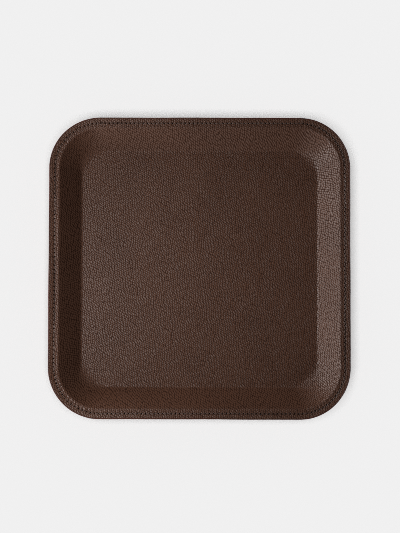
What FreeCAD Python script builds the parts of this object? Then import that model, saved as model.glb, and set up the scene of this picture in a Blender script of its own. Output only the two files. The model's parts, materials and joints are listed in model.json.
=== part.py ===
import FreeCAD, Part
import math
import os

# Leather valet tray: a square dish with rounded corners and a flat sewn rim.
# Millimetres, +Z up, origin at the middle of the underside.
# Sections are drawn as (inset, z): inset is the way in from the rim's outer edge.

# Overall
tray_length_x = 200.0
tray_length_y = 200.0
tray_height = 20.0
rim_corner_radius = 34.0
floor_corner_radius = 16.5

# Wall and the raised roll along its top
wall_angle = 46.5  # degrees up from the floor
crease_radius = 2.0  # floor to wall, on the lining
roll_rise = 0.8  # roll above the flat rim
roll_foot_radius = 0.6  # hollow between the flat rim and the roll

# Thickness of each layer
lining_thickness = 1.1
felt_thickness = 0.7
core_thickness = 1.5
outer_thickness = 1.1
stiffener_thickness = 0.8
suede_thickness = 0.8
paint_thickness = 0.5  # at the middle of its dome

# Underside
turn_in_width = 14.0  # outer leather turned in under the base
suede_margin = 1.5  # from the edge of the flat base to the suede
outer_bend_radius = 0.5  # outer leather, rim to wall, on its outside

# Seam
edge_to_stitch = 3.5
stitch_pitch = 2.8
thread_diameter = 0.5
channel_depth = 0.25  # the thread lies half sunk in a channel

# Clearances
strand_gap = 0.04  # between the two strands in a stitch hole
hole_clearance = 0.03
channel_clearance = 0.1
hole_to_roll = 0.04
lock_gap = 0.04  # between the two threads where they lock
stiffener_gap = 0.2
felt_gap = 0.3
card_gap = 0.3

arc_sections = 5  # sections in each rounded run

# Heights of the layers, from the table up
z_outer = suede_thickness
z_core = z_outer + outer_thickness
z_felt = z_core + core_thickness
z_lining = z_felt + felt_thickness
z_floor = z_lining + lining_thickness

# Heights of the rim, from the top of the roll down
z_rim = tray_height - roll_rise
z_stiffener = z_rim - lining_thickness
z_outer_rim = z_stiffener - stiffener_thickness
z_rim_under = z_outer_rim - outer_thickness
z_lock = (z_rim + z_rim_under) / 2

slope = math.radians(wall_angle)
core_half = core_thickness / 2
roll_radius = core_half + lining_thickness
z_roll = tray_height - roll_radius  # middle of the core's round top
# Steepest part of the roll's outer side, where its crown meets its hollow foot.
flank = math.acos(1 - roll_rise / (roll_radius + roll_foot_radius))

thread_radius = thread_diameter / 2
leg_offset = thread_radius + strand_gap / 2
hole_radius = leg_offset + thread_radius + hole_clearance
channel_half = thread_radius + channel_clearance

# The roll starts just clear of the stitch holes, and the wall starts at the roll.
flank_run = (roll_radius + roll_foot_radius) * math.sin(flank)
roll_inset = edge_to_stitch + hole_radius + hole_to_roll + flank_run
wall_top_z = z_roll + roll_radius * math.cos(slope)
wall_top_inset = roll_inset + roll_radius * math.sin(slope)
crease_inset = wall_top_inset + (wall_top_z - z_floor) / math.tan(slope)
floor_draw = floor_corner_radius - (rim_corner_radius - crease_inset)

core_depth = lining_thickness
outer_depth = core_depth + core_thickness
skin_depth = outer_depth + outer_thickness


def wall_inset(z, depth):
    # Inset of the wall at a height, for a surface that lies depth behind the lining's face.
    return crease_inset - (z - z_floor) / math.tan(slope) - depth / math.sin(slope)


def crest(depth):
    # Where the wall and the roll's outer flank would meet, depth below the lining's face.
    reach = (roll_radius - depth) / math.sin(slope + flank)
    inset = roll_inset + reach * (math.cos(flank) - math.cos(slope))
    return inset, z_roll + reach * (math.sin(slope) + math.sin(flank))


def foot(z, depth):
    # Where the roll's outer flank comes down to a height.
    rise = (z - z_roll) * math.cos(flank)
    return roll_inset + (rise - roll_radius + depth) / math.sin(flank)


def flat_edge(z, depth):
    # Inset at which the flat bottom starts, past the rounded crease.
    return wall_inset(z, depth) + (crease_radius + depth) * math.tan(slope / 2)


def corner_radius(inset, z):
    # Below the rim the corners are drawn in, so that the floor's own corners stay round.
    drop = max(0.0, (z_rim_under - z) / (z_rim_under - z_floor))
    return rim_corner_radius - inset + floor_draw * drop


def ring(inset, z):
    # Rounded rectangle at a height, as a closed wire.
    half_x = tray_length_x / 2 - inset
    half_y = tray_length_y / 2 - inset
    radius = corner_radius(inset, z)
    mid_x = half_x - radius
    mid_y = half_y - radius
    corners = (
        (mid_x, -mid_y, -90),
        (mid_x, mid_y, 0),
        (-mid_x, mid_y, 90),
        (-mid_x, -mid_y, 180),
    )
    edges = []
    last = FreeCAD.Vector(-mid_x, -half_y, z)
    for x, y, start in corners:
        spots = []
        for angle in (start, start + 45, start + 90):
            turn = math.radians(angle)
            reach = FreeCAD.Vector(math.cos(turn), math.sin(turn), 0) * radius
            spots.append(FreeCAD.Vector(x, y, z) + reach)
        edges.append(Part.makeLine(last, spots[0]))
        edges.append(Part.Arc(*spots).toShape())
        last = spots[2]
    return Part.Wire(edges)


def rounded(corners, closed):
    # Runs of (inset, z) along a section whose corners (inset, z, radius) are rounded.
    count = len(corners)
    runs = []
    last = None
    for i in range(count):
        x, z, radius = corners[i]
        if radius == 0 or (not closed and i in (0, count - 1)):
            start = end = (x, z)
            bend = None
        else:
            x0, z0, _ = corners[i - 1]
            x1, z1, _ = corners[(i + 1) % count]
            way_in = math.atan2(z - z0, x - x0)
            way_out = math.atan2(z1 - z, x1 - x)
            turn = (way_out - way_in + math.pi) % (2 * math.pi) - math.pi
            reach = radius * math.tan(abs(turn) / 2)
            start = (x - reach * math.cos(way_in), z - reach * math.sin(way_in))
            side = math.copysign(radius, turn)
            mid = (start[0] - side * math.sin(way_in), start[1] + side * math.cos(way_in))
            bend = []
            for k in range(arc_sections):
                angle = way_in + turn * k / (arc_sections - 1)
                bend.append((mid[0] + side * math.sin(angle), mid[1] - side * math.cos(angle)))
            end = bend[-1]
        if last is not None:
            runs += straight(last, start)
        if bend:
            runs.append(bend)
        last = end
        if i == 0:
            first = start
    if closed:
        runs += straight(last, first)
    return runs


def straight(a, b):
    # One straight run, or two where it passes the height at which the corners start to draw in.
    if math.hypot(b[0] - a[0], b[1] - a[1]) < 1e-6:
        return []
    if (a[1] - z_rim_under) * (b[1] - z_rim_under) >= -1e-9:
        return [[a, b]]
    share = (z_rim_under - a[1]) / (b[1] - a[1])
    split = (a[0] + share * (b[0] - a[0]), z_rim_under)
    return [[a, split], [split, b]]


def skin(corners, closed):
    # Solid whose wall follows a section all round; an open section is closed by two flat faces.
    runs = rounded(corners, closed)
    faces = []
    for run in runs:
        rings = [ring(x, z) for x, z in run]
        if abs(run[0][1] - run[-1][1]) < 1e-6:
            rings.sort(key=lambda wire: -wire.Length)
            faces += Part.Face(rings[0]).cut(Part.Face(rings[1])).Faces
        else:
            faces += Part.makeLoft(rings, False, len(run) == 2).Faces
    if not closed:
        faces.append(Part.Face(ring(*runs[0][0])))
        faces.append(Part.Face(ring(*runs[-1][-1])))
    shell = Part.makeShell(faces)
    shell.sewShape()
    solid = Part.Solid(shell)
    if solid.Volume < 0:
        solid.reverse()
    return solid


def slab(inset, z_low, z_high):
    # Flat plate with the tray's rounded outline.
    height = FreeCAD.Vector(0, 0, z_high - z_low)
    return Part.Face(ring(inset, z_low)).extrude(height)


def stitch_points():
    # Evenly spaced stitch holes; a multiple of four keeps the four sides alike.
    line = ring(edge_to_stitch, z_rim)
    count = 4 * round(line.Length / stitch_pitch / 4)
    return line.discretize(Number=count + 1)[:-1]


def stitch_holes(z_low, z_high):
    pins = []
    for point in stitch_points():
        base = FreeCAD.Vector(point.x, point.y, z_low - 1)
        pins.append(Part.makeCylinder(hole_radius, z_high - z_low + 2, base))
    return pins


def lining_leather():
    high = edge_to_stitch + channel_half
    low = edge_to_stitch - channel_half
    z_channel = z_rim - channel_depth
    section = [
        (flat_edge(z_floor, 0), z_floor, 0),
        (crease_inset, z_floor, crease_radius),
        (*crest(0), roll_radius),
        (foot(z_rim, 0), z_rim, roll_foot_radius),
        (high, z_rim, 0),
        (high, z_channel, 0),
        (low, z_channel, 0),
        (low, z_rim, 0),
        (paint_thickness, z_rim, 0),
        (paint_thickness, z_stiffener, 0),
        (foot(z_stiffener, core_depth), z_stiffener, roll_foot_radius + core_depth),
        (*crest(core_depth), core_half),
        (wall_inset(z_lining, core_depth), z_lining, crease_radius + core_depth),
        (flat_edge(z_lining, core_depth), z_lining, 0),
    ]
    return skin(section, False).cut(stitch_holes(z_stiffener, z_rim))


def floor_felt():
    return slab(flat_edge(z_felt, core_depth) + felt_gap, z_felt, z_lining)


def moulded_core():
    # Its top is a full round as wide as the wall is thick.
    along = (-core_half * math.cos(slope), core_half * math.sin(slope))
    across = (core_half * math.sin(slope), core_half * math.cos(slope))
    top = (roll_inset + along[0], z_roll + along[1])
    section = [
        (flat_edge(z_felt, core_depth), z_felt, 0),
        (wall_inset(z_felt, core_depth), z_felt, crease_radius + core_depth),
        (top[0] + across[0], top[1] + across[1], core_half),
        (top[0] - across[0], top[1] - across[1], core_half),
        (wall_inset(z_core, outer_depth), z_core, crease_radius + outer_depth),
        (flat_edge(z_core, outer_depth), z_core, 0),
    ]
    return skin(section, False)


def rim_stiffener():
    inner = roll_inset - core_half - stiffener_gap
    band = slab(paint_thickness, z_outer_rim, z_stiffener).cut(slab(inner, z_outer_rim, z_stiffener))
    return band.cut(stitch_holes(z_outer_rim, z_stiffener))


def turn_in_inset():
    return wall_inset(z_core, outer_depth) + turn_in_width


def outer_leather():
    high = edge_to_stitch + channel_half
    low = edge_to_stitch - channel_half
    z_channel = z_rim_under + channel_depth
    section = [
        (paint_thickness, z_outer_rim, 0),
        (wall_inset(z_outer_rim, outer_depth), z_outer_rim, outer_bend_radius + outer_thickness),
        (wall_inset(z_core, outer_depth), z_core, crease_radius + outer_depth),
        (turn_in_inset(), z_core, 0),
        (turn_in_inset(), z_outer, 0),
        (wall_inset(z_outer, skin_depth), z_outer, crease_radius + skin_depth),
        (wall_inset(z_rim_under, skin_depth), z_rim_under, outer_bend_radius),
        (high, z_rim_under, 0),
        (high, z_channel, 0),
        (low, z_channel, 0),
        (low, z_rim_under, 0),
        (paint_thickness, z_rim_under, 0),
    ]
    return skin(section, True).cut(stitch_holes(z_rim_under, z_outer_rim))


def base_card():
    return slab(turn_in_inset() + card_gap, z_outer, z_core)


def suede_base():
    return slab(flat_edge(z_outer, skin_depth) + suede_margin, 0, z_outer)


def edge_paint():
    # Domed bead over the cut edges of the rim's three layers.
    half = (z_rim - z_rim_under) / 2
    radius = (half * half + paint_thickness * paint_thickness) / (2 * paint_thickness)
    sweep = math.asin(half / radius)
    bead = []
    for k in range(arc_sections):
        angle = sweep * (2 * k / (arc_sections - 1) - 1)
        bead.append(ring(radius - radius * math.cos(angle), z_lock + radius * math.sin(angle)))
    faces = Part.makeLoft(bead, False, True).Faces
    faces += Part.makeLoft([bead[-1], bead[0]], False, True).Faces
    shell = Part.makeShell(faces)
    shell.sewShape()
    solid = Part.Solid(shell)
    if solid.Volume < 0:
        solid.reverse()
    return solid


def seam_thread(side):
    # One continuous thread: a run between holes, then down to the lock and back in the same hole.
    # side is 1 for the thread that shows on top and -1 for the one underneath.
    face = z_rim if side > 0 else z_rim_under
    z_run = face + side * (thread_radius + strand_gap / 2 - channel_depth)
    z_turn = z_lock + side * (lock_gap / 2 + thread_radius + leg_offset)
    bend = leg_offset
    up = FreeCAD.Vector(0, 0, side)
    points = stitch_points()
    count = len(points)
    ways = []
    for i in range(count):
        ways.append((points[(i + 1) % count] - points[i]).normalize())
    edges = []
    for i in range(count):
        way = ways[i]
        start = points[i] + way * leg_offset
        end = points[(i + 1) % count] - way * leg_offset
        after = points[(i + 1) % count] + ways[(i + 1) % count] * leg_offset
        for spot in (start, end, after):
            spot.z = z_run
        knee = bend * (1 - math.sqrt(0.5))
        sink = abs(z_run - z_turn)
        edges.append(Part.makeLine(start - up * sink, start - up * bend))
        knees = (start + way * knee - up * knee, end - way * knee - up * knee)
        edges.append(Part.Arc(start - up * bend, knees[0], start + way * bend).toShape())
        edges.append(Part.makeLine(start + way * bend, end - way * bend))
        edges.append(Part.Arc(end - way * bend, knees[1], end - up * bend).toShape())
        edges.append(Part.makeLine(end - up * bend, end - up * sink))
        low = (end + after) / 2 - up * (sink + (after - end).Length / 2)
        edges.append(Part.Arc(end - up * sink, low, after - up * sink).toShape())
    path = Part.Wire(edges)
    base = points[0] + ways[0] * leg_offset
    base.z = z_turn
    tube = Part.Wire([Part.makeCircle(thread_radius, base, up)])
    solid = path.makePipeShell([tube], True, False)
    return solid


def needle_thread():
    return seam_thread(1)


def bobbin_thread():
    return seam_thread(-1)


os.makedirs("parts", exist_ok=True)
for make in (
    lining_leather,
    floor_felt,
    moulded_core,
    rim_stiffener,
    outer_leather,
    base_card,
    suede_base,
    edge_paint,
    needle_thread,
    bobbin_thread,
):
    shape = make()
    shape.exportStep("parts/" + make.__name__ + ".step")
    print(make.__name__, shape.isValid(), len(shape.Solids), len(shape.Faces), round(shape.Volume, 1))
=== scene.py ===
import json
import math

import bpy
import numpy as np
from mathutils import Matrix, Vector


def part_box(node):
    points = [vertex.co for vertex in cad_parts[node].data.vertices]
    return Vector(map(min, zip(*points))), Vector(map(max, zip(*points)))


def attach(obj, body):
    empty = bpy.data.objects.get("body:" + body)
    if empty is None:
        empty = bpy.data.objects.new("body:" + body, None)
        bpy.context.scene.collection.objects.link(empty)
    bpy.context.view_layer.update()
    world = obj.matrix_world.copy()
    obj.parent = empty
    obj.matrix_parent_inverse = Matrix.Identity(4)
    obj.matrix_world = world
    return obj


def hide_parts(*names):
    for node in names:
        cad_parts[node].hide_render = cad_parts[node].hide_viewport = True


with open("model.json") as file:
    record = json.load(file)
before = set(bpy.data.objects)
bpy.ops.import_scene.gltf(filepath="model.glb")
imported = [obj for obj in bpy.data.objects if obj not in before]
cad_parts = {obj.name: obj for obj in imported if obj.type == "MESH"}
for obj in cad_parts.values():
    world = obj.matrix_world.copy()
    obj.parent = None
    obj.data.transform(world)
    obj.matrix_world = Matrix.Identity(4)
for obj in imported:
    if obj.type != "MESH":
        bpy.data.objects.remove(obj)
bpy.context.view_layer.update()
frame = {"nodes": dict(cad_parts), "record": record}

scene = bpy.context.scene
mm = 0.001


def boxOf(name):  # a node's low and high corner in mm
    low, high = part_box(name)
    return np.array(low) / mm, np.array(high) / mm


# Heights and insets come from the frame, in mm. An inset is measured in from the rim's outer edge.
paintLow, paintHigh = boxOf("edge_paint")
stiffenerLow, stiffenerHigh = boxOf("rim_stiffener")
feltLow, feltHigh = boxOf("floor_felt")
cardLow, cardHigh = boxOf("base_card")
liningHigh = boxOf("lining_leather")[1]
half = paintHigh[0]
zTop = liningHigh[2]  # crest of the roll
zRim = paintHigh[2]  # flat top of the rim
zStiffener = stiffenerHigh[2]
zOuterRim = stiffenerLow[2]
zRimUnder = paintLow[2]
zLining = feltHigh[2]  # back of the lining's floor
zFelt = feltLow[2]
zCore = cardHigh[2]  # underside of the core
zOuter = cardLow[2]  # underside of the turned-in leather
liningThick = zRim - zStiffener
outerThick = zOuterRim - zRimUnder
coreHalf = (zFelt - zCore) / 2
zFloor = zLining + liningThick
edgeInset = half - liningHigh[0]
rollInset = half - boxOf("moulded_core")[1][0] + coreHalf
suedeInset = half - boxOf("suede_base")[1][0]
feltInset = half - feltHigh[0]
turnInInset = half - cardHigh[0]

tray = {
    "rimRadius": 34.0,  # rounded corner of the rim
    "floorRadius": 16.5,  # and of the floor
    "cornerEase": 1.6,  # how steeply a corner's softness comes in
    "wallAngle": math.radians(46.5),
    "wallWave": 0.10,  # slow unevenness of the walls
    "wallWaves": (83, 31, 17),  # and how long its waves are
    "creaseRadius": 2.2,  # floor to wall along the sides
    "cornerCrease": 12.0,  # the leather cannot be pressed so sharp in the corners
    "creasePush": 0.5,  # pressed hard, the crease lies this much further out than the core's
    "cornerPush": 1.2,  # and this much in the corners
    "footRadius": 0.6,  # hollow between rim and roll, on the lining's back
    "footLean": 0.25,  # the hollow stops this far short of level
    "crestShift": 0.15,  # the roll's face is a little further in than its core
    "crestDrop": 0.65,  # and pressed down a little
    "shoulder": 0.45,  # its outer slope ends this far inside the stitch line
    "wander": 0.12,  # how far the hand-cut edge strays
    "wanderWaves": (240, 103, 47),
    "wanderFrom": 0.6,  # it starts this far inside the stitch line
    "wanderOver": 2.5,  # and grows over this width
}
seam = {
    "inset": 3.9,
    "stitches": 256,
    "threadRadius": 0.24,
    "holeAlong": 0.52,  # half the length of a hole
    "holeAcross": 0.38,  # and half its width
    "channel": 0.14,  # the thread pulls a shallow channel into the leather
    "channelWidth": 0.34,
    "pucker": 0.18,  # extra dip at each hole
    "puckerAlong": 0.6,
    "puckerAcross": 0.5,
    "rise": {1: 0.25, -1: 0.05},  # height of the stitched line over the plain rim, top and underside
    "curl": {1: 0.54, -1: 0.3},  # outside the stitches the band curls up this much more
    "leftCurl": {1: 0.4, -1: 0.2},  # and the left side's band stands up further still
    "shade": 0.06,  # painted shade: the rim's colour is made a shade darker than the floor's
    "gather": 0.06,  # ribs on the roll where the thread draws the skin in
    "cornerGather": 0.15,  # more of it round the corners
    "pleat": 0.12,  # uneven folds of the spare leather in the corners
    "pleatWaves": (2.9, 4.3, 6.1),
}

wallAngle = tray["wallAngle"]
wallBend = math.tan(wallAngle / 2)  # a bend of radius r starts r * wallBend from the corner it rounds
rollRadius = coreHalf + liningThick
zRoll = zTop - rollRadius
footReach = rollRadius + tray["footRadius"]
flank = math.acos(1 - (zTop - zRim) / footReach)
footInset = rollInset - footReach * math.sin(flank)
wallTopInset = rollInset + rollRadius * math.sin(wallAngle)
wallTopZ = zRoll + rollRadius * math.cos(wallAngle)
creaseInset = wallTopInset + (wallTopZ - zFloor) / math.tan(wallAngle)
crestInset = rollInset + tray["crestShift"]
zCrest = zTop - tray["crestDrop"]
shoulderEnd = seam["inset"] + tray["shoulder"]
floorDraw = tray["floorRadius"] - (tray["rimRadius"] - creaseInset)

# Columns follow the stitch line: four sides, each with the corner after it.
sideRun = 2 * (half - tray["rimRadius"])
arcRun = (tray["rimRadius"] - seam["inset"]) * math.pi / 2
quarterRun = sideRun + arcRun
wholeRun = 4 * quarterRun
pitch = wholeRun / seam["stitches"]
stitchSteps = np.array([-0.42, -0.30, -0.19, -0.07, 0.07, 0.19, 0.30, 0.42])  # columns of one stitch
perStitch = len(stitchSteps)
fineCount = seam["stitches"] * perStitch
fineStations = np.add.outer(np.arange(seam["stitches"]), stitchSteps).ravel() * pitch


def stations(count):
    return fineStations[:: fineCount // count].copy()


def quarterOf(t):  # which side a station is on, and how far along that side and its corner
    t = np.mod(t, wholeRun)
    side = np.floor(t / quarterRun)
    return side, t - side * quarterRun


def cornerTurn(t):  # 0 along a side, up to a quarter turn at the end of its corner
    return np.clip((quarterOf(t)[1] - sideRun) / arcRun, 0, 1) * math.pi / 2


def cornerShare(t):  # 0 along the sides, 1 in the middle of a corner
    return np.sin(2 * cornerTurn(t)) ** tray["cornerEase"]


def leftShare(t):  # 1 along the left side, fading out in its two corners
    return np.clip(-np.sin(cornerTurn(t) + quarterOf(t)[0] * math.pi / 2), 0, 1) ** 2


def towardsCorner(t, side, corner):  # a size that differs between the sides and the corners
    return side + (corner - side) * cornerShare(t)


def waves(t, lengths, start=0.0):  # slow uneven line that closes on itself round the tray
    out = np.zeros_like(t)
    for k, length in enumerate(lengths):
        turns = round(wholeRun / length)
        phase = start + 2.4 * k * k  # so that no two waves start together
        out += np.sin(2 * math.pi * turns * t / wholeRun + phase) / len(lengths)
    return out


def outline(t, inset, z):
    # Points on the tray's rounded square, and the way out from it, for stations along the stitch line.
    side, along = quarterOf(t)
    along = np.clip(along / sideRun, 0, 1) * 2 - 1
    turn = cornerTurn(t)
    drop = np.clip((zRimUnder - z) / (zRimUnder - zFloor), 0, None)
    mid = half - tray["rimRadius"] - floorDraw * drop  # centre of the corner's arc
    stray = np.clip((seam["inset"] + tray["wanderFrom"] - inset) / tray["wanderOver"], 0, 1)
    inset = inset + stray * tray["wander"] * waves(t, tray["wanderWaves"], start=1.3)
    out = np.stack([np.sin(turn), -np.cos(turn)])
    spot = np.stack([mid * along, -mid]) + (half - inset - mid) * out
    c = np.cos(side * math.pi / 2)
    s = np.sin(side * math.pi / 2)
    turned = [np.stack([c * v[0] - s * v[1], s * v[0] + c * v[1]]) for v in (spot, out)]
    return np.column_stack([turned[0].T, z]), turned[1].T


class Skin:  # rings of points, joined one after the other into one closed skin
    def __init__(self):
        self.points, self.blank, self.sunk, self.faces = [], [], [], []
        self.total = 0

    def add(self, points, blank, sunk=0.0):
        first = self.total
        self.points.append(points)
        self.blank.append(blank)
        self.sunk.append(sunk + np.zeros(len(points)))
        self.total += len(points)
        return np.arange(first, self.total)

    def ring(self, t, inset, z, run=None, sunk=0.0):
        # run is how far the flat leather goes from the floor's edge to this ring
        points, out = outline(t, inset + 0 * t, z + 0 * t)
        flat = points[:, :2].copy()
        if run is not None:
            base = outline(t, creaseInset + 0 * t, zFloor + 0 * t)[0][:, :2]
            flat = base + out * (run + 0 * t)[:, None]
        return self.add(points, np.column_stack([flat, 0 * t]), sunk)

    def join(self, a, b, skip=()):
        if len(a) == len(b):
            keep = ~np.isin(np.arange(len(a)) % perStitch, skip)
            quads = np.column_stack([b, np.roll(b, -1), np.roll(a, -1), a])[keep]
            self.faces += quads.tolist()
        elif len(a) > len(b):  # two columns become one
            a0, a1, a2 = a[0::2], a[1::2], np.roll(a[0::2], -1)
            b1 = np.roll(b, -1)
            for tri in ((b, a1, a0), (b, b1, a1), (b1, a2, a1)):
                self.faces += np.column_stack(tri).tolist()
        else:  # one column becomes two
            b0, b1, b2 = b[0::2], b[1::2], np.roll(b[0::2], -1)
            a1 = np.roll(a, -1)
            for tri in ((b0, b1, a), (b1, a1, a), (b1, b2, a1)):
                self.faces += np.column_stack(tri).tolist()

    def chain(self, rings, skip=(), closed=False):
        for a, b in zip(rings, rings[1:]):
            self.join(a, b, skip)
        if closed:
            self.join(rings[-1], rings[0])

    def cap(self, ring, z, up):  # close a ring with a fan to its middle
        middle = self.add(np.array([[0, 0, z]]), np.zeros((1, 3)))
        fan = [ring, np.roll(ring, -1)] if up else [np.roll(ring, -1), ring]
        self.faces += np.column_stack(fan + [np.repeat(middle, len(ring))]).tolist()

    def tubes(self, top, bottom):  # walls of the stitch holes
        quads = np.stack([top, np.roll(top, -1, 1), np.roll(bottom, -1, 1), bottom], -1)
        self.faces += quads.reshape(-1, 4).tolist()

    def turnOver(self):  # face the other way
        self.faces = [face[::-1] for face in self.faces]

    def build(self, name, lift=None):
        points = np.concatenate(self.points)
        blank = np.concatenate(self.blank)
        if lift is not None:
            points[:, 2] += lift(points)
        used = np.zeros(len(points), bool)
        for face in self.faces:
            used[face] = True
        order = np.cumsum(used) - 1
        mesh = bpy.data.meshes.new(name)
        faces = [[int(order[i]) for i in face] for face in self.faces]
        mesh.from_pydata((points[used] * mm).tolist(), [], faces)
        mesh.polygons.foreach_set("use_smooth", np.ones(len(faces), bool))
        flat = mesh.attributes.new("blank", "FLOAT_VECTOR", "POINT")  # place on the flat leather
        flat.data.foreach_set("vector", (blank[used] * mm).ravel())
        deep = mesh.attributes.new("sunk", "FLOAT", "POINT")  # 1 where light hardly gets in
        deep.data.foreach_set("value", np.concatenate(self.sunk)[used])
        mesh.validate()
        piece = bpy.data.objects.new(name, mesh)
        scene.collection.objects.link(piece)
        return piece


# One stitch hole is a 4 by 4 block of points: the outer twelve are pulled into an oval,
# and the faces inside it are left out.
holeColumns = (2, 3, 4, 5)
holeRows = (0.33, 0.13, -0.13, -0.33)  # mm from the stitch line, the row nearest the roll first
holeSkip = (2, 3, 4)  # columns of faces inside a hole
holeOrder = [(5, 2), (5, 1), (5, 0), (4, 0), (3, 0), (2, 0), (2, 1), (2, 2), (2, 3), (3, 3), (4, 3), (5, 3)]
holeStep = 2 * math.pi / len(holeOrder)


def nearHole(t, inset):  # 1 at a stitch hole, fading out round it
    across = inset - seam["inset"]
    along = (np.mod(t / pitch + 0.5, 1) - 0.5) * pitch
    return np.exp(-((across / seam["puckerAcross"]) ** 2 + (along / seam["puckerAlong"]) ** 2))


def bandHeight(t, side, inset):  # height of the rim's face; side is 1 on top of the rim, -1 below
    outside = np.clip((seam["inset"] - inset) / (seam["inset"] - edgeInset), 0, 1)
    curl = seam["curl"][side] + seam["leftCurl"][side] * leftShare(t)
    return (zRim if side > 0 else zRimUnder) + seam["rise"][side] + curl * outside


def seamDip(t, inset):  # how far the leather is drawn in near the thread and the holes
    across = (inset - seam["inset"]) / seam["channelWidth"]
    return seam["channel"] * np.exp(-(across ** 2)) + seam["pucker"] * nearHole(t, inset)


def seamRows(skin, side, run, hidden=None):
    # The rows that carry the holes, from the roll outwards; hidden is the height of a face inside the rim.
    rings = []
    for q, row in enumerate(holeRows):
        t = stations(fineCount)
        inset = seam["inset"] + row + 0 * t
        for c in holeColumns:
            if (c, q) in holeOrder:
                angle = holeStep * (holeOrder.index((c, q)) - 0.5)
                t[c::perStitch] = np.arange(seam["stitches"]) * pitch + seam["holeAlong"] * math.cos(angle)
                inset[c::perStitch] = seam["inset"] + seam["holeAcross"] * math.sin(angle)
        # painted shade: darker round each stitch hole, and a lighter painted shade over the whole rim
        sunk = np.maximum(nearHole(t, inset), seam["shade"])
        z = bandHeight(t, side, inset) - side * seamDip(t, inset) if hidden is None else hidden
        rings.append(skin.ring(t, inset, z, run - row, sunk))
    holes = np.column_stack([rings[q][c::perStitch] for c, q in holeOrder])
    return rings, holes


def creaseAt(t):  # radius from floor to wall
    return towardsCorner(t, tray["creaseRadius"], tray["cornerCrease"])


def gather(t, share):  # the skin is drawn in at each hole, and pleats a little in the corners
    corner = cornerShare(t)
    draw = (seam["gather"] + seam["cornerGather"] * corner) * np.cos(math.pi * t / pitch) ** 2
    pleat = seam["pleat"] * corner * waves(t, seam["pleatWaves"], start=0.4)
    return -share * (draw + pleat)


def wallRows(skin, depth, lip, rows, count):
    # The lining's section from the floor up to the lip of the wall, depth below its face.
    t = stations(count)
    onFace = depth == 0
    low = creaseInset - depth * wallBend
    r = creaseAt(t) + depth
    push = towardsCorner(t, tray["creasePush"], tray["cornerPush"])
    level = low + r * wallBend - push * onFace  # where the floor ends and the crease begins
    rings = []
    for turn in np.linspace(0, wallAngle, rows["crease"]):
        inset = level - r * math.sin(turn)
        z = zFloor - depth + r * (1 - math.cos(turn))
        rings.append(skin.ring(t, inset, z, creaseInset - inset))
    for share in np.arange(1, rows["wall"]) / rows["wall"]:
        soft = tray["wallWave"] * waves(t, tray["wallWaves"], start=0.9) * math.sin(math.pi * share) * onFace
        up = inset + (lip[0] - inset) * share - soft * math.sin(wallAngle)
        rise = z + (lip[1] - z) * share + soft * math.cos(wallAngle)
        rings.append(skin.ring(t, up, rise, low - up))
    return rings, low - lip[0]


def rollFace(skin, run, rows, count):  # over the crest, then a soft slope down to the stitches
    t = stations(count)
    rings = []
    for lean in np.linspace(wallAngle, 0, rows["roll"]):
        share = 1 - lean / wallAngle
        r = rollRadius + gather(t, 0.5 * share)  # half of the ribs' height is reached at the crest
        inset = crestInset + r * math.sin(lean)
        z = zCrest - rollRadius + r * math.cos(lean)
        # painted shade over the roll, growing towards the rim
        rings.append(skin.ring(t, inset, z, run + rollRadius * (wallAngle - lean), seam["shade"] * share))
    run += rollRadius * wallAngle
    zSeam = bandHeight(t, 1, shoulderEnd)
    for share in np.arange(1, rows["shoulder"] + 1) / rows["shoulder"]:
        inset = crestInset + (shoulderEnd - crestInset) * share
        z = zSeam + (zCrest - zSeam) * (1 + math.cos(math.pi * share)) / 2
        rib = gather(t, math.sin(math.pi * (1 + 5 * share) / 6))  # from half to full, and out at the seam
        # painted shade over the shoulder
        rings.append(skin.ring(t, inset, z + rib, run + crestInset - inset, seam["shade"]))
    return rings, run + crestInset - shoulderEnd


def rollBack(skin, depth, rows, count):  # round the core's edge and down to the rim
    t = stations(count)
    rings = []
    r = rollRadius - depth
    for lean in np.linspace(wallAngle, -flank, rows["roll"]):
        rings.append(skin.ring(t, rollInset + r * math.sin(lean), zRoll + r * math.cos(lean)))
    r = tray["footRadius"] + depth
    for lean in np.linspace(flank, tray["footLean"], rows["foot"] + 1)[1:]:
        rings.append(skin.ring(t, footInset + r * math.sin(lean), zRim - depth + r * (1 - math.cos(lean))))
    return rings


def floorRows(skin, insets, z, counts, scales):  # flat rings that shrink towards the middle
    rings = [skin.ring(stations(count), inset, z) for inset, count in zip(insets, counts)]
    points = skin.points[-1]
    for scale, stride in scales:
        points = points[::stride]
        spots = points * np.array([scale, scale, 1.0])
        rings.append(skin.add(spots, spots * np.array([1, 1, 0])))
    return rings


floorSwell = {
    "height": 0.09,  # slow hollows and rises of the soft floor
    "flat": 60.0,  # all of it this far from the middle
    "fade": 18.0,  # and gone this much further out
    "near": 0.01,  # what counts as the floor's face
    "slant": 0.6,  # share of the slanting waves
    "cross": 0.5,  # and of the ones across them
}


def floorLift(points):
    x, y, z = points.T
    beyond = [np.clip(abs(v) - floorSwell["flat"], 0, None) for v in (x, y)]
    flat = np.clip(1 - np.hypot(*beyond) / floorSwell["fade"], 0, 1)
    onTop = np.abs(z - zFloor) < floorSwell["near"]
    wave = np.sin(x / 19 + 0.7) * np.sin(y / 23 + 0.3)  # a wave is about six times these mm long
    wave += floorSwell["slant"] * np.sin(x / 9.5 - y / 12.5)
    wave += floorSwell["cross"] * np.sin(y / 7.3 + x / 16)
    return onTop * flat * floorSwell["height"] * wave


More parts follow.
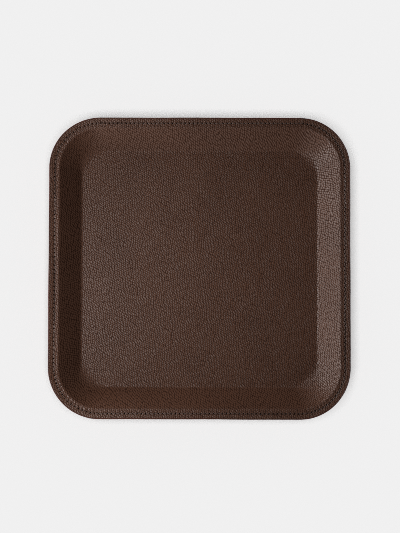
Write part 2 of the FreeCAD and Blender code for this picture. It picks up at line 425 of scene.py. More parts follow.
lining = {
    "topRows": {"crease": 8, "wall": 8, "roll": 7, "shoulder": 8},
    "underRows": {"crease": 4, "wall": 3, "roll": 5, "foot": 2},
    "creaseRoom": 1.0,  # level strip between the crease and the floor's rings
    "floorInsets": (28.5, 31.0),
    "floorScales": [(0.9, 2), (0.8, 1), (0.7, 1), (0.6, 2), (0.5, 1), (0.4, 1), (0.28, 2), (0.14, 2)],
    "underScales": [(0.8, 2), (0.5, 2), (0.2, 2)],
    "bandRows": (3.0, 2.5, 2.0, 1.5, 1.0),  # rim outside the stitches
    "bandCrown": 0.03,
    "bandWave": 0.025,
    "bandWaves": (5.3, 8.9),
    "edgeRound": ((0.22, 0.03), (0.07, 0.13), (0.0, 0.32)),  # rounded cut edge: (inset, drop)
    "underEdge": 0.1,  # bevel on the back of the cut edge
    "underInset": 2.4,
    "underSeam": 0.55,  # first ring on the back inside the stitch line
    "underRun": 8.0,  # down in the holes the grain runs to this far past the shoulder
    "slack": 0.03,  # the back stays clear of what it is glued to
}


def makeLining():
    skin = Skin()
    halfCount = fineCount // 2
    t = stations(halfCount)
    # face: floor, wall, roll, seam, band
    soft = creaseInset + creaseAt(t) * wallBend + lining["creaseRoom"]
    counts = (halfCount, halfCount // 2, halfCount // 2)
    floor = floorRows(skin, (soft, *lining["floorInsets"]), zFloor, counts, lining["floorScales"])
    skin.cap(floor[-1], zFloor, True)
    lip = (crestInset + rollRadius * math.sin(wallAngle), zCrest - rollRadius * (1 - math.cos(wallAngle)))
    wall, run = wallRows(skin, 0.0, lip, lining["topRows"], halfCount)
    roll, run = rollFace(skin, run, lining["topRows"], fineCount)
    block, holes = seamRows(skin, 1, run + shoulderEnd - seam["inset"])
    band = []
    for inset in lining["bandRows"]:
        share = (inset - edgeInset) / (seam["inset"] - edgeInset)
        crown = lining["bandCrown"] * math.sin(math.pi * share)
        crown = crown + lining["bandWave"] * waves(t, lining["bandWaves"], start=0.2)
        z = bandHeight(t, 1, inset) + crown - seamDip(t, inset)
        # painted shade over the band
        band.append(skin.ring(t, inset, z, run + shoulderEnd - inset, seam["shade"]))
    for inset, drop in lining["edgeRound"]:
        z = bandHeight(t, 1, edgeInset) - drop
        # painted shade over the rounded edge
        band.append(skin.ring(t, edgeInset + inset, z, run + shoulderEnd - edgeInset + drop, seam["shade"]))
    # back: rim, seam, roll, wall, floor
    low = zStiffener + lining["slack"]
    deep = liningThick - lining["slack"]
    bevel = lining["underEdge"]
    under = [skin.ring(t, edgeInset, low + bevel), skin.ring(t, edgeInset + bevel, low)]
    under.append(skin.ring(t, lining["underInset"], low))
    lowBlock, lowHoles = seamRows(skin, 1, run + lining["underRun"], low)
    lowBlock = lowBlock[::-1]
    r = rollRadius - deep
    lip = (rollInset + r * math.sin(wallAngle), zRoll + r * math.cos(wallAngle))
    back = wallRows(skin, deep, lip, lining["underRows"], halfCount // 4)[0]
    back += rollBack(skin, deep, lining["underRows"], halfCount // 2)
    back = [skin.ring(t, seam["inset"] + lining["underSeam"], low)] + back[::-1]
    zBack = zLining + lining["slack"]
    inner = floorRows(skin, lining["floorInsets"][:1], zBack, (halfCount // 4,), lining["underScales"])
    skin.chain(floor[::-1] + wall + roll + [block[0]])
    skin.chain(block, holeSkip)
    skin.chain([block[-1]] + band + under + [lowBlock[0]])
    skin.chain(lowBlock, holeSkip)
    skin.chain([lowBlock[-1]] + back + inner)
    skin.cap(inner[-1], zBack, False)
    skin.tubes(holes, lowHoles)
    return skin.build("liningLeather", floorLift)


outer = {
    "bendRadius": 0.5,  # rim to wall, on its outside
    "baseRadius": 2.0 + liningThick + 2 * coreHalf + outerThick,  # wall to base
    "cornerSoft": 1.5,  # added to it in the corners
    "bendRows": 5,
    "baseRows": 9,
    "wallRows": 8,
    "wallWave": 0.09,
    "wallWaves": (71, 29, 15),
    "bandRows": (3.0, 2.3, 1.6, 1.0),
    "bandCrown": 0.06,
    "rimEdge": 0.1,  # bevel inside the cut edge of the rim
    "rimInset": 2.4,
    "rimSeam": 0.6,  # first ring inside the stitch line
    "rimRun": 2.0,  # up in the holes the grain runs to this place on the flat leather
    "cutGap": 0.3,  # from the turned-in edge to the card
    "cutBevel": 0.15,
    "cutRound": 0.2,
    "cutLift": 0.04,  # the cut edge stays clear of the suede
    "turnInRun": 30.0,  # place on the flat leather that the grain under the base runs to
    "slack": 0.03,  # the hidden face stays clear of what it is glued to
}


def backInset(z, depth):  # inset of the wall, depth behind the lining's face
    return creaseInset - (z - zFloor) / math.tan(wallAngle) - depth / math.sin(wallAngle)


def bendSpot(at, z, r, turn, way):
    # Inset and height on the bend between the wall and a level face; way is 1 under the rim, -1 at the base.
    return at - way * r * (wallBend - math.sin(turn)), z - way * r * (1 - math.cos(turn))


def makeOuter():
    skin = Skin()
    t = stations(fineCount // 2)
    coarse = stations(fineCount // 4)
    inDepth = liningThick + 2 * coreHalf + outer["slack"]
    outDepth = inDepth + outerThick - outer["slack"]
    zHigh = zOuterRim - outer["slack"]
    zBack = zCore - outer["slack"]
    baseAt = backInset(zOuter, outDepth)
    rimAt = backInset(zRimUnder, outDepth)
    run = (baseAt - rimAt) / math.cos(wallAngle)
    # hidden face: rim edge to roll, down inside the wall, in under the base
    bevel = outer["rimEdge"]
    rim = [skin.ring(t, edgeInset, zHigh - bevel), skin.ring(t, edgeInset + bevel, zHigh)]
    rim.append(skin.ring(t, outer["rimInset"], zHigh))
    block, holes = seamRows(skin, 1, outer["rimRun"], zHigh)
    block = block[::-1]
    inner = [skin.ring(t, seam["inset"] + outer["rimSeam"], zHigh)]
    r = outer["bendRadius"] + outerThick
    for turn in np.linspace(0, wallAngle, outer["bendRows"] - 1):
        inner.append(skin.ring(coarse, *bendSpot(backInset(zHigh, inDepth), zHigh, r, turn, 1)))
    r = outer["baseRadius"] - outerThick
    for turn in np.linspace(wallAngle, 0, outer["bendRows"]):
        inner.append(skin.ring(coarse, *bendSpot(backInset(zBack, inDepth), zBack, r, turn, -1)))
    edge = turnInInset - outer["cutGap"]
    inner.append(skin.ring(coarse, edge - outer["cutBevel"], zBack))
    inner.append(skin.ring(coarse, edge, zBack - outer["cutBevel"]))
    inner.append(skin.ring(coarse, edge, zOuter + outer["cutRound"]))
    inner.append(skin.ring(coarse, edge - outer["cutRound"], zOuter + outer["cutLift"], outer["turnInRun"]))
    # outside: base, rounded crease, wall, bend under the rim
    face = []
    r = outer["baseRadius"] + outer["cornerSoft"] * cornerShare(coarse)
    for k, turn in enumerate(np.linspace(0, wallAngle, outer["baseRows"])):
        low = bendSpot(baseAt, zOuter, r, turn, -1)
        lift = outer["cutLift"] if k == 0 else 0.0
        face.append(skin.ring(coarse, low[0], low[1] + lift, creaseInset - baseAt - r * wallBend + r * turn))
    bend = outer["bendRadius"]
    high = bendSpot(rimAt, zRimUnder, bend, wallAngle, 1)
    for share in np.arange(1, outer["wallRows"]) / outer["wallRows"]:
        soft = outer["wallWave"] * waves(coarse, outer["wallWaves"], start=2.1) * math.sin(math.pi * share)
        inset = low[0] + (high[0] - low[0]) * share
        z = low[1] + (high[1] - low[1]) * share - soft * math.cos(wallAngle)
        flat = (baseAt - inset) / math.cos(wallAngle)
        face.append(skin.ring(coarse, inset - soft * math.sin(wallAngle), z, flat))
    for turn in np.linspace(wallAngle, 0, outer["bendRows"]):
        inset, z = bendSpot(rimAt, zRimUnder, bend, turn, 1)
        face.append(skin.ring(t, inset, z, run + bend * (wallAngle - turn)))
    lowBlock, lowHoles = seamRows(skin, -1, run + rimAt - seam["inset"])
    band = []
    for inset in outer["bandRows"]:
        share = (inset - edgeInset) / (seam["inset"] - edgeInset)
        z = bandHeight(t, -1, inset) - outer["bandCrown"] * math.sin(math.pi * share) + seamDip(t, inset)
        band.append(skin.ring(t, inset, z, run + rimAt - inset))
    for inset, drop in lining["edgeRound"]:
        z = bandHeight(t, -1, edgeInset) + drop
        band.append(skin.ring(t, edgeInset + inset, z, run + rimAt - edgeInset))
    skin.chain(rim + [block[0]])
    skin.chain(block, holeSkip)
    skin.chain([block[-1]] + inner + face + [lowBlock[0]])
    skin.chain(lowBlock, holeSkip)
    skin.chain([lowBlock[-1]] + band + [rim[0]])
    skin.turnOver()
    skin.tubes(holes, lowHoles)
    return skin.build("outerLeather")


paint = {
    "lap": 0.22,  # laps this far onto both faces
    "lapFilm": 0.01,
    "rows": 9,
    "square": 3.2,  # the higher, the squarer the bead
    "turnOver": 0.97,  # how far round the bead goes before it meets the leather
    "bite": 0.06,
    "spill": 0.02,  # stands over the leather above and below
    "wave": 0.03,
    "waves": (13, 7.1, 29),
    "backGap": 0.02,
    "backEdge": 0.3,
}


def makePaint():
    # Edge paint: a domed bead over the three cut edges that laps a little onto both faces.
    skin = Skin()
    t = stations(fineCount // 2)
    wave = paint["wave"] * waves(t, paint["waves"], start=0.6)
    zHigh = bandHeight(t, 1, edgeInset)
    zLow = bandHeight(t, -1, edgeInset)
    tall = (zHigh - zLow) / 2
    mid = (zHigh + zLow) / 2
    lap = edgeInset + paint["lap"]
    rings = [skin.ring(t, lap, zHigh + paint["lapFilm"])]
    for share in np.linspace(1, -1, paint["rows"]):
        dome = math.sqrt(1 - abs(paint["turnOver"] * share) ** paint["square"])
        inset = (edgeInset + paint["bite"]) * (1 - dome) + wave * dome
        rings.append(skin.ring(t, np.maximum(inset, 0), mid + share * (tall + paint["spill"])))
    rings.append(skin.ring(t, lap, zLow - paint["lapFilm"]))
    for z in (zLow + paint["backEdge"], mid, zHigh - paint["backEdge"]):
        rings.append(skin.ring(t, edgeInset - paint["backGap"], z))
    skin.chain(rings, closed=True)
    return skin.build("edgePaint")


thread = {
    "around": 12,
    "plies": 3,
    "lay": 1.5,  # mm for one turn of the plies
    "ply": 0.11,  # depth of the grooves between plies, share of the radius
    "plyMean": 1.27,  # keeps the mean radius as the plies bulge
    "slant": 0.07,  # each stitch lies a little askew
    "slantSteep": 2.6,
    "arch": 0.03,  # and bows up between its holes
    "seat": 0.03,  # height over the bottom of its channel
    "stray": 0.035,  # no two stitches lie quite alike
    "uneven": 0.02,
    "lockGap": 0.05,  # the two threads turn back just short of each other
    "legGap": 0.28,  # half the distance between the two legs in one hole
    "kneeAlong": 0.5,  # from leg to run
    "kneeDown": 0.62,
    "kneeSteps": 7,
    "lockSteps": 4,
    "runSteps": 9,
    "paintedShadeFrom": -0.06,  # painted shade on the thread from this height down
    "paintedShadeOver": 0.3,  # and full this much lower
}


def threadLeg():  # (along, height) from the lock in the hole up to the run
    lock = np.linspace(0, math.pi / 2, thread["lockSteps"], endpoint=False)
    knee = np.linspace(0, math.pi / 2, thread["kneeSteps"])
    gap = thread["legGap"]
    along = np.concatenate([gap * np.sin(lock), gap + thread["kneeAlong"] * (1 - np.cos(knee))])
    thick = bandHeight(0.0, 1, seam["inset"]) - bandHeight(0.0, -1, seam["inset"])
    deep = thick / 2 + seam["threadRadius"] - seam["channel"] - thread["lockGap"]
    turn = gap - deep - gap * np.cos(lock)
    height = np.concatenate([turn, thread["kneeDown"] * (np.sin(knee) - 1)])
    return along, height


def makeThread(name, side):
    # side is 1 for the needle thread on top of the rim and -1 for the bobbin thread below
    legAlong, legHeight = threadLeg()
    runFrom = legAlong[-1]
    steps = np.linspace(runFrom, pitch - runFrom, thread["runSteps"] + 2)[1:-1]
    arch = thread["arch"] * np.sin(math.pi * (steps - runFrom) / (pitch - 2 * runFrom))
    ahead = np.concatenate([legAlong, steps, pitch - legAlong[:0:-1]])
    height = np.concatenate([legHeight, arch, legHeight[:0:-1]])
    slant = thread["slant"] * np.clip((ahead / pitch - 0.5) * thread["slantSteep"], -1, 1)
    index = np.arange(seam["stitches"])
    stray = thread["stray"] * np.sin(index * 12.9898 + side)  # steps that never fall in with each other
    uneven = thread["uneven"] * np.sin(index * 7.23)
    t = np.add.outer(index * pitch, ahead).ravel()
    drop = np.add.outer(uneven, height).ravel()
    inset = seam["inset"] + np.add.outer(stray, slant).ravel()
    seat = seam["threadRadius"] - seam["channel"] + thread["seat"]
    spots, out = outline(t, inset, bandHeight(t, side, seam["inset"]) + side * (drop + seat))
    # a frame of directions along the thread, and its length so far
    way = np.roll(spots, -1, 0) - np.roll(spots, 1, 0)
    way /= np.linalg.norm(way, axis=1)[:, None]
    across = np.column_stack([out, 0 * t])
    across -= way * np.sum(across * way, 1)[:, None]
    across /= np.linalg.norm(across, axis=1)[:, None]
    above = np.cross(way, across)
    step = np.linalg.norm(np.roll(spots, -1, 0) - spots, axis=1)
    length = np.concatenate([[0], np.cumsum(step)[:-1]])
    turns = round(step.sum() / thread["lay"])
    spin = 2 * math.pi * turns * length / step.sum()
    # twisted plies round it
    around = thread["around"]
    plies = thread["plies"]
    angles = np.arange(around) * 2 * math.pi / around
    lobe = np.abs(np.cos(plies / 2 * (angles[None, :] - spin[:, None] / plies))) * 2 - thread["plyMean"]
    r = seam["threadRadius"] * (1 + thread["ply"] * lobe)
    ray = np.cos(angles)[None, :, None] * across[:, None, :]
    ray = ray + np.sin(angles)[None, :, None] * above[:, None, :]
    points = (spots[:, None, :] + r[..., None] * ray).reshape(-1, 3)
    # painted shade on the thread where it dives into the holes
    sunk = np.repeat(np.clip((thread["paintedShadeFrom"] - drop) / thread["paintedShadeOver"], 0, 1), around)
    skin = Skin()
    grid = skin.add(points, 0 * points, sunk).reshape(len(t), around)
    nextRing = np.roll(grid, -1, 0)
    quads = np.stack([grid, np.roll(grid, -1, 1), np.roll(nextRing, -1, 1), nextRing], -1)
    skin.faces = quads.reshape(-1, 4).tolist()
    return skin.build(name)


suede = {"rounding": 0.28, "wave": 0.06}
felt = {"rounding": 0.2, "wave": 0.12, "slack": 0.02}
slab = {
    "border": 5.0,  # finer rings along the edge
    "scales": [(0.85, 2), (0.6, 2), (0.35, 2), (0.12, 1)],
    "edgeRows": 7,
    "waves": (23, 9.7, 5.1),
}


def makeSlab(name, inset, low, high, spec):
    # Soft flat sheet with the tray's outline, a rounded cut edge and an uneven cut.
    skin = Skin()
    count = fineCount // 4
    t = stations(count)
    r = spec["rounding"]
    wobble = spec["wave"] * waves(t, slab["waves"], start=1.1)
    border = inset + slab["border"]
    rim = inset + 2 * r
    under = floorRows(skin, (border, rim), low, (count, count), [])
    side = []
    for k, angle in enumerate(np.linspace(-math.pi / 2, math.pi / 2, slab["edgeRows"])):
        z = low + r if k < slab["edgeRows"] // 2 else high - r
        side.append(skin.ring(t, inset + r - r * math.cos(angle) + wobble, z + r * math.sin(angle)))
    over = floorRows(skin, (rim, border), high, (count, count), slab["scales"])
    middle = floorRows(skin, (border,), low, (count,), slab["scales"])
    skin.chain(middle[:0:-1] + under + side + over)
    skin.cap(middle[-1], low, True)
    skin.cap(over[-1], high, False)
    skin.turnOver()
    return skin.build(name)


pieces = {"lining_leather": makeLining()}
print("lining leather", len(pieces["lining_leather"].data.polygons))
pieces["outer_leather"] = makeOuter()
print("outer leather", len(pieces["outer_leather"].data.polygons))
pieces["edge_paint"] = makePaint()
pieces["needle_thread"] = makeThread("needleThread", 1)
pieces["bobbin_thread"] = makeThread("bobbinThread", -1)
print("edge and seam", len(pieces["needle_thread"].data.polygons))
pieces["suede_base"] = makeSlab("suedeBase", suedeInset, 0.0, zOuter, suede)
pieces["floor_felt"] = makeSlab("floorFelt", feltInset, zFelt + felt["slack"], zLining - felt["slack"], felt)
print("pieces", {name: len(piece.data.polygons) for name, piece in pieces.items()})


def linear(code):  # sRGB hex to a linear colour
    parts = [int(code[i:i + 2], 16) / 255 for i in (1, 3, 5)]
    return [c / 12.92 if c <= 0.04045 else ((c + 0.055) / 1.055) ** 2.4 for c in parts] + [1.0]


def addNode(tree, kind, inputs=None, **settings):
    made = tree.nodes.new(kind)
    for name, value in settings.items():
        setattr(made, name, value)
    for name, value in (inputs or {}).items():
        if isinstance(value, bpy.types.NodeSocket):
            tree.links.new(value, made.inputs[name])
        else:
            made.inputs[name].default_value = value
    return made


def newMaterial(name):
    material = bpy.data.materials.new(name)
    material.use_nodes = True
    tree = material.node_tree
    tree.nodes.clear()
    return material, tree


# Calf leather, chrome tanned, dyed through and printed with a fine pebble grain under a hot plate:
# small rounded pebbles in slanting rows, satin on their tops, dull in the pits between them and dark there,
# partly from dye that pools in them and partly painted shade.
calf = {
    "alongRow": (1.13, -0.71),  # mm from pebble to pebble
    "nextRow": (-0.15, -1.41),
    "random": 0.3,
    "drift": 3.0,  # mm that the rows stray, over the length below
    "driftOver": 9.0,
    "relief": 0.145,  # mm, deeper than real so that the grain still shows at this distance
    "domeFrom": 0.2,  # a pebble's top, in steps from its middle
    "domeTo": 0.72,  # and the bottom of the pit
    "pore": 0.35,  # mm, fine pores on the pebbles
    "poreDepth": 0.22,
    "cloudOver": 26.0,  # mm, soft clouds in the dye
    "cloud": 0.3,
    "sunkTone": -0.9,  # painted shade inside the stitch holes and over the rim
    "darkest": 0.15,  # tones that take the two colours
    "lightest": 1.15,
    "top": "#644231",
    # colour of the pits: dye that pools there, darkened further by painted shade
    "pit": "#361f14",
    "gloss": 0.33,  # roughness of the tops
    "dull": 0.65,  # and of the pits
    "shine": 0.62,
    "pitShine": 0.12,  # hardly any light is mirrored out of the pits
    "ior": 1.5,
}


def grainedCalf():
    material, tree = newMaterial("calf leather, plate grained")
    place = addNode(tree, "ShaderNodeAttribute", attribute_name="blank").outputs["Vector"]
    sunk = addNode(tree, "ShaderNodeAttribute", attribute_name="sunk").outputs["Fac"]
    drift, pores, cloud = [
        addNode(
            tree,
            "ShaderNodeTexNoise",
            {"Vector": place, "Scale": 1 / (calf[size] * mm), "Detail": detail},
            noise_dimensions="2D",
        )
        for size, detail in (("driftOver", 2.0), ("pore", 3.0), ("cloudOver", 3.0))
    ]
    moved = addNode(
        tree,
        "ShaderNodeVectorMath",
        {0: drift.outputs["Color"], 1: [calf["drift"] * mm] * 3, 2: place},
        operation="MULTIPLY_ADD",
    )
    # coordinates that count pebbles along and across the rows
    count = np.linalg.inv(np.array([calf["alongRow"], calf["nextRow"]]).T * mm)
    steps = [
        addNode(tree, "ShaderNodeVectorMath", {0: moved.outputs[0], 1: (*row, 0)}, operation="DOT_PRODUCT")
        for row in count
    ]
    lattice = addNode(
        tree, "ShaderNodeCombineXYZ", {"X": steps[0].outputs["Value"], "Y": steps[1].outputs["Value"]}
    )
    cell = addNode(
        tree,
        "ShaderNodeTexVoronoi",
        {"Vector": lattice.outputs[0], "Scale": 1.0, "Randomness": calf["random"]},
        voronoi_dimensions="2D",
        feature="F1",
    )
    dome = addNode(
        tree,
        "ShaderNodeMapRange",
        {
            "Value": cell.outputs["Distance"],
            "From Min": calf["domeFrom"],
            "From Max": calf["domeTo"],
            "To Min": 1.0,
            "To Max": 0.0,
        },
        interpolation_type="SMOOTHSTEP",
    ).outputs[0]
    height = addNode(
        tree,
        "ShaderNodeMath",
        {0: pores.outputs["Fac"], 1: calf["poreDepth"], 2: dome},
        operation="MULTIPLY_ADD",
    )
    bump = addNode(
        tree,
        "ShaderNodeBump",
        {"Height": height.outputs[0], "Strength": 1.0, "Distance": calf["relief"] * mm},
    )
    tone = addNode(
        tree, "ShaderNodeMath", {0: cloud.outputs["Fac"], 1: calf["cloud"], 2: dome}, operation="MULTIPLY_ADD"
    )
    # painted shade from the mask darkens the grain's tone
    toneWithPaintedShade = addNode(
        tree, "ShaderNodeMath", {0: sunk, 1: calf["sunkTone"], 2: tone.outputs[0]}, operation="MULTIPLY_ADD"
    )
    shade = addNode(
        tree,
        "ShaderNodeMapRange",
        {"Value": toneWithPaintedShade.outputs[0], "From Min": calf["darkest"], "From Max": calf["lightest"]},
    )
    colour = addNode(
        tree,
        "ShaderNodeMix",
        {0: shade.outputs[0], 6: linear(calf["pit"]), 7: linear(calf["top"])},
        data_type="RGBA",
    )
    rough, shine = [
        addNode(tree, "ShaderNodeMapRange", {"Value": dome, "To Min": calf[pit], "To Max": calf[top]})
        for pit, top in (("dull", "gloss"), ("pitShine", "shine"))
    ]
    shader = addNode(
        tree,
        "ShaderNodeBsdfPrincipled",
        {
            "Base Color": colour.outputs[2],
            "Roughness": rough.outputs[0],
            "Specular IOR Level": shine.outputs[0],
            "IOR": calf["ior"],
            "Normal": bump.outputs[0],
        },
    )
    addNode(tree, "ShaderNodeOutputMaterial", {"Surface": shader.outputs[0]})
    return material


# Edge paint: several coats of tinted acrylic, rolled on and polished; smooth, dark and slightly red.
acrylic = {
    "dark": "#44201a",
    "light": "#5c2c22",
    "ripple": 2.5,  # mm, left by the roller
    "relief": 0.05,
    "gloss": 0.32,
    "dull": 0.48,
    "ior": 1.49,
}


def edgePaintFinish():
    material, tree = newMaterial("edge paint, polished acrylic")
    place = addNode(tree, "ShaderNodeTexCoord").outputs["Object"]
    ripple = addNode(
        tree, "ShaderNodeTexNoise", {"Vector": place, "Scale": 1 / (acrylic["ripple"] * mm), "Detail": 3.0}
    ).outputs["Fac"]
    colour = addNode(
        tree,
        "ShaderNodeMix",
        {0: ripple, 6: linear(acrylic["dark"]), 7: linear(acrylic["light"])},
        data_type="RGBA",
    )
    bump = addNode(
        tree, "ShaderNodeBump", {"Height": ripple, "Strength": 0.5, "Distance": acrylic["relief"] * mm}
    )
    rough = addNode(
        tree, "ShaderNodeMapRange", {"Value": ripple, "To Min": acrylic["gloss"], "To Max": acrylic["dull"]}
    )
    shader = addNode(
        tree,
        "ShaderNodeBsdfPrincipled",
        {
            "Base Color": colour.outputs[2],
            "Roughness": rough.outputs[0],
            "IOR": acrylic["ior"],
            "Normal": bump.outputs[0],
        },
    )
    addNode(tree, "ShaderNodeOutputMaterial", {"Surface": shader.outputs[0]})
    return material


# Waxed polyester thread, three twisted plies: soft shine along the plies, darker between them.
polyester = {
    "dark": "#120a08",
    "light": "#6a5247",
    "fibre": 0.12,  # mm, coarser than real fibres so that they show close up
    "relief": 0.03,
    "sunkTone": -1.0,  # painted shade where it goes into the holes
    "darkest": -0.3,
    "lightest": 0.7,
    "rough": 0.5,
    "ior": 1.52,
}


def waxedThread():
    material, tree = newMaterial("waxed polyester thread, twisted")
    place = addNode(tree, "ShaderNodeTexCoord").outputs["Object"]
    fibre = addNode(
        tree,
        "ShaderNodeTexNoise",
        {"Vector": place, "Scale": 1 / (polyester["fibre"] * mm), "Detail": 3.0, "Roughness": 0.7},
    ).outputs["Fac"]
    sunk = addNode(tree, "ShaderNodeAttribute", attribute_name="sunk").outputs["Fac"]
    # painted shade darkens the fibres' tone
    toneWithPaintedShade = addNode(
        tree, "ShaderNodeMath", {0: sunk, 1: polyester["sunkTone"], 2: fibre}, operation="MULTIPLY_ADD"
    )
    tone = addNode(
        tree,
        "ShaderNodeMapRange",
        {"Value": toneWithPaintedShade.outputs[0], "From Min": polyester["darkest"], "From Max": polyester["lightest"]},
    )
    colour = addNode(
        tree,
        "ShaderNodeMix",
        {0: tone.outputs[0], 6: linear(polyester["dark"]), 7: linear(polyester["light"])},
        data_type="RGBA",
    )
    bump = addNode(
        tree, "ShaderNodeBump", {"Height": fibre, "Strength": 0.6, "Distance": polyester["relief"] * mm}
    )
    shader = addNode(
        tree,
        "ShaderNodeBsdfPrincipled",
        {
            "Base Color": colour.outputs[2],
            "Roughness": polyester["rough"],
            "IOR": polyester["ior"],
            "Normal": bump.outputs[0],
        },
    )
    addNode(tree, "ShaderNodeOutputMaterial", {"Surface": shader.outputs[0]})
    return material


# Board, felt and suede share one recipe: fibres of two tones, matte, with a soft nap where there is one.
# The grain is the spacing of the fibres and the relief their height, both in mm.
fibres = {
    "split_suede": {
        "name": "split suede, brushed", "dark": "#33231d", "light": "#4c382f",
        "grain": 0.25, "relief": 0.12, "nap": 0.35,
    },
    "wool_felt": {
        "name": "wool felt, pressed", "dark": "#5d5852", "light": "#827c74",
        "grain": 0.4, "relief": 0.2, "nap": 0.3,
    },
    "pressed_fibreboard": {
        "name": "fibreboard, hot pressed", "dark": "#5a4a3b", "light": "#7a6753",
        "grain": 0.5, "relief": 0.05, "nap": 0.0,
    },
    "bonded_leather_board": {
        "name": "leather fibre board, rolled", "dark": "#6b4d36", "light": "#8d6a4d",
        "grain": 0.4, "relief": 0.05, "nap": 0.0,
    },
    "grey_board": {
        "name": "grey board, rolled", "dark": "#7d7b76", "light": "#9b9893",
        "grain": 0.5, "relief": 0.04, "nap": 0.0,
    },
}
matte = {
    "rough": 0.9,
    "napRough": 0.5,
    "tuft": 6.0,  # how many fibres wide a tuft is
    "darkest": 0.7,
    "lightest": 1.3,
}


def fibreFinish(spec):
    material, tree = newMaterial(spec["name"])
    place = addNode(tree, "ShaderNodeTexCoord").outputs["Object"]
    tufts = addNode(
        tree,
        "ShaderNodeTexNoise",
        {"Vector": place, "Scale": 1 / (spec["grain"] * matte["tuft"] * mm), "Detail": 3.0},
    )
    fine = addNode(
        tree,
        "ShaderNodeTexNoise",
        {"Vector": place, "Scale": 1 / (spec["grain"] * mm), "Detail": 5.0, "Roughness": 0.65},
    ).outputs["Fac"]
    both = addNode(tree, "ShaderNodeMath", {0: fine, 1: tufts.outputs["Fac"]}, operation="ADD")
    tone = addNode(
        tree,
        "ShaderNodeMapRange",
        {"Value": both.outputs[0], "From Min": matte["darkest"], "From Max": matte["lightest"]},
    )
    colour = addNode(
        tree,
        "ShaderNodeMix",
        {0: tone.outputs[0], 6: linear(spec["dark"]), 7: linear(spec["light"])},
        data_type="RGBA",
    )
    bump = addNode(tree, "ShaderNodeBump", {"Height": fine, "Strength": 0.8, "Distance": spec["relief"] * mm})
    shader = addNode(
        tree,
        "ShaderNodeBsdfPrincipled",
        {
            "Base Color": colour.outputs[2],
            "Roughness": matte["rough"],
            "Sheen Weight": spec["nap"],
            "Sheen Roughness": matte["napRough"],
            "Normal": bump.outputs[0],
        },
    )
    addNode(tree, "ShaderNodeOutputMaterial", {"Surface": shader.outputs[0]})
    return material


finishes = {
    "grained_calf": grainedCalf(),
    "edge_paint": edgePaintFinish(),
    "waxed_thread": waxedThread(),
}
for slot, spec in fibres.items():
    finishes[slot] = fibreFinish(spec)

slotOf = {row["node"]: row["material_slot"] for row in frame["record"]["subparts"]}
for node, piece in pieces.items():
    piece.data.materials.append(finishes[slotOf[node]])
    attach(piece, "root")
    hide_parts(node)
for node in sorted(set(slotOf) - set(pieces)):
    kept = frame["nodes"][node]
    if not kept.material_slots:
        kept.data.materials.append(finishes[slotOf[node]])
    for slot in kept.material_slots:
        slot.material = finishes[slotOf[node]]
print("finishes set")

# Stage: a plain pale sheet that takes the tray's soft shadow
stage = {"paper": "#e4e4e4", "reach": 30.0, "drop": 0.0002}
reach = stage["reach"]
sheetCorners = [(-reach, -reach, 0), (reach, -reach, 0), (reach, reach, 0), (-reach, reach, 0)]
floorMesh = bpy.data.meshes.new("studioFloor")
floorMesh.from_pydata(sheetCorners, [], [(0, 1, 2, 3)])
studioFloor = bpy.data.objects.new("studioFloor", floorMesh)
studioFloor.location.z = -stage["drop"]
scene.collection.objects.link(studioFloor)
material, tree = newMaterial("paper sweep, matte white")
paper = addNode(tree, "ShaderNodeBsdfDiffuse", {"Color": linear(stage["paper"])})
addNode(tree, "ShaderNodeOutputMaterial", {"Surface": paper.outputs[0]})
floorMesh.materials.append(material)
print("stage set")

# Light: softboxes for the tray, and a square of four soft suns that light only the sheet round its shadow
studio = {"sky": 0.105, "skyFrom": 0.55, "aim": (0.0, 0.0, 0.01)}
overhead = {"lean": (-0.07, -0.09), "apart": 0.185, "angle": math.radians(23), "power": 0.866}
lamps = {
    "keyNear": {"place": (-0.26, -0.02, 0.20), "size": (0.24, 0.10), "power": 0.20},
    "keyMid": {"place": (-0.22, -0.03, 0.30), "size": (0.20, 0.12), "power": 0.61},
    "lowBack": {"place": (-0.46, 0.20, 0.10), "size": (0.24, 0.10), "power": 0.70},
    "lowFront": {"place": (-0.46, -0.20, 0.10), "size": (0.24, 0.10), "power": 0.66},
    "right": {"place": (0.42, 0.0, 0.40), "size": (0.30, 0.30), "power": 0.03},
    "back": {"place": (0.0, 0.42, 0.40), "size": (0.30, 0.30), "power": 0.02},
    "front": {"place": (0.0, -0.42, 0.40), "size": (0.30, 0.30), "power": 0.03},
    "frontLow": {"place": (-0.1, -0.50, 0.12), "size": (0.30, 0.10), "power": 0.21},
}
world = bpy.data.worlds.new("studio")
scene.world = world
world.use_nodes = True
world.cycles.sampling_method = "NONE"  # even and weak, so rays find it by themselves
skyTree = world.node_tree
skyTree.nodes.clear()
skyWay = addNode(skyTree, "ShaderNodeTexCoord").outputs["Generated"]
skyHeight = addNode(skyTree, "ShaderNodeSeparateXYZ", {"Vector": skyWay}).outputs["Z"]
skyFade = addNode(
    skyTree,
    "ShaderNodeMapRange",
    {
        "Value": skyHeight,
        "From Min": studio["skyFrom"],
        "From Max": 1.0,
        "To Min": studio["sky"],
        "To Max": 0.0,  # the room is dark right above, behind the camera
    },
    interpolation_type="SMOOTHSTEP",
)
sky = addNode(skyTree, "ShaderNodeBackground", {"Color": (1, 1, 1, 1), "Strength": skyFade.outputs[0]})
addNode(skyTree, "ShaderNodeOutputWorld", {"Surface": sky.outputs[0]})


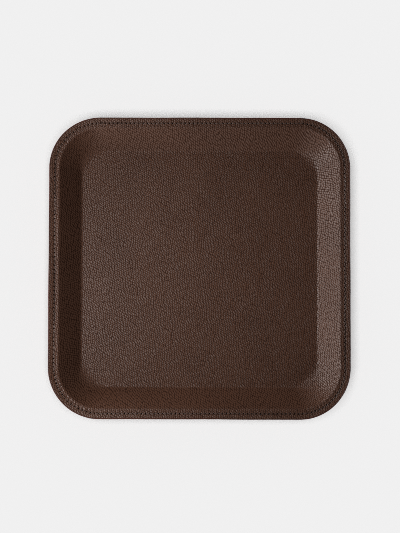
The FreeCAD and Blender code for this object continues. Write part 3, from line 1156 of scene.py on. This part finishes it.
def hang(name, light, falls):  # falls: INCLUDE lights only the sheet, EXCLUDE all but the sheet
    lamp = bpy.data.objects.new(name, light)
    lamp.visible_camera = False
    scene.collection.objects.link(lamp)
    receivers = bpy.data.collections.new(name + "Falls")
    receivers.objects.link(studioFloor)
    receivers.collection_objects[0].light_linking.link_state = falls
    lamp.light_linking.receiver_collection = receivers
    return lamp


for name, spec in lamps.items():
    light = bpy.data.lights.new(name, "AREA")
    light.shape = "RECTANGLE"
    light.size, light.size_y = spec["size"]
    light.energy = spec["power"]
    lamp = hang(name, light, "EXCLUDE")
    lamp.location = spec["place"]
    lamp.rotation_euler = (Vector(studio["aim"]) - lamp.location).to_track_quat("-Z", "Y").to_euler()
for cornerX in (-1, 1):
    for cornerY in (-1, 1):
        light = bpy.data.lights.new("overhead", "SUN")
        light.energy = overhead["power"]
        light.angle = overhead["angle"]
        light.cycles.use_multiple_importance_sampling = False  # less noise on the pale sheet
        slopeX = overhead["lean"][0] + cornerX * overhead["apart"]
        slopeY = overhead["lean"][1] + cornerY * overhead["apart"]
        sun = hang("overhead", light, "INCLUDE")
        sun.rotation_euler = Vector((-slopeX, -slopeY, -1)).to_track_quat("-Z", "Y").to_euler()
print("lights", len(bpy.data.lights))

# Camera, where the photograph was taken from: almost straight above
camera = {
    "distance": 0.7,
    "tilt": math.radians(1.89),
    "roll": math.radians(0.144),
    "lens": 71.26,
    "sensor": 36.0,
    "aim": (0.00035, 0.00096, 0.0177),
}
lens = bpy.data.cameras.new("studioCamera")
lens.lens = camera["lens"]
lens.sensor_width = camera["sensor"]
eye = bpy.data.objects.new("studioCamera", lens)
towardsEye = np.array([0, -math.sin(camera["tilt"]), math.cos(camera["tilt"])])
eye.location = np.array(camera["aim"]) + camera["distance"] * towardsEye
eye.rotation_euler = (camera["tilt"], 0, camera["roll"])
scene.collection.objects.link(eye)
scene.camera = eye
scene.view_settings.view_transform = "Standard"
scene.cycles.use_denoising = False  # smoothing would wipe out the fine grain
scene.cycles.filter_width = 0.8  # px, a crisp film for the same reason

print("ready")
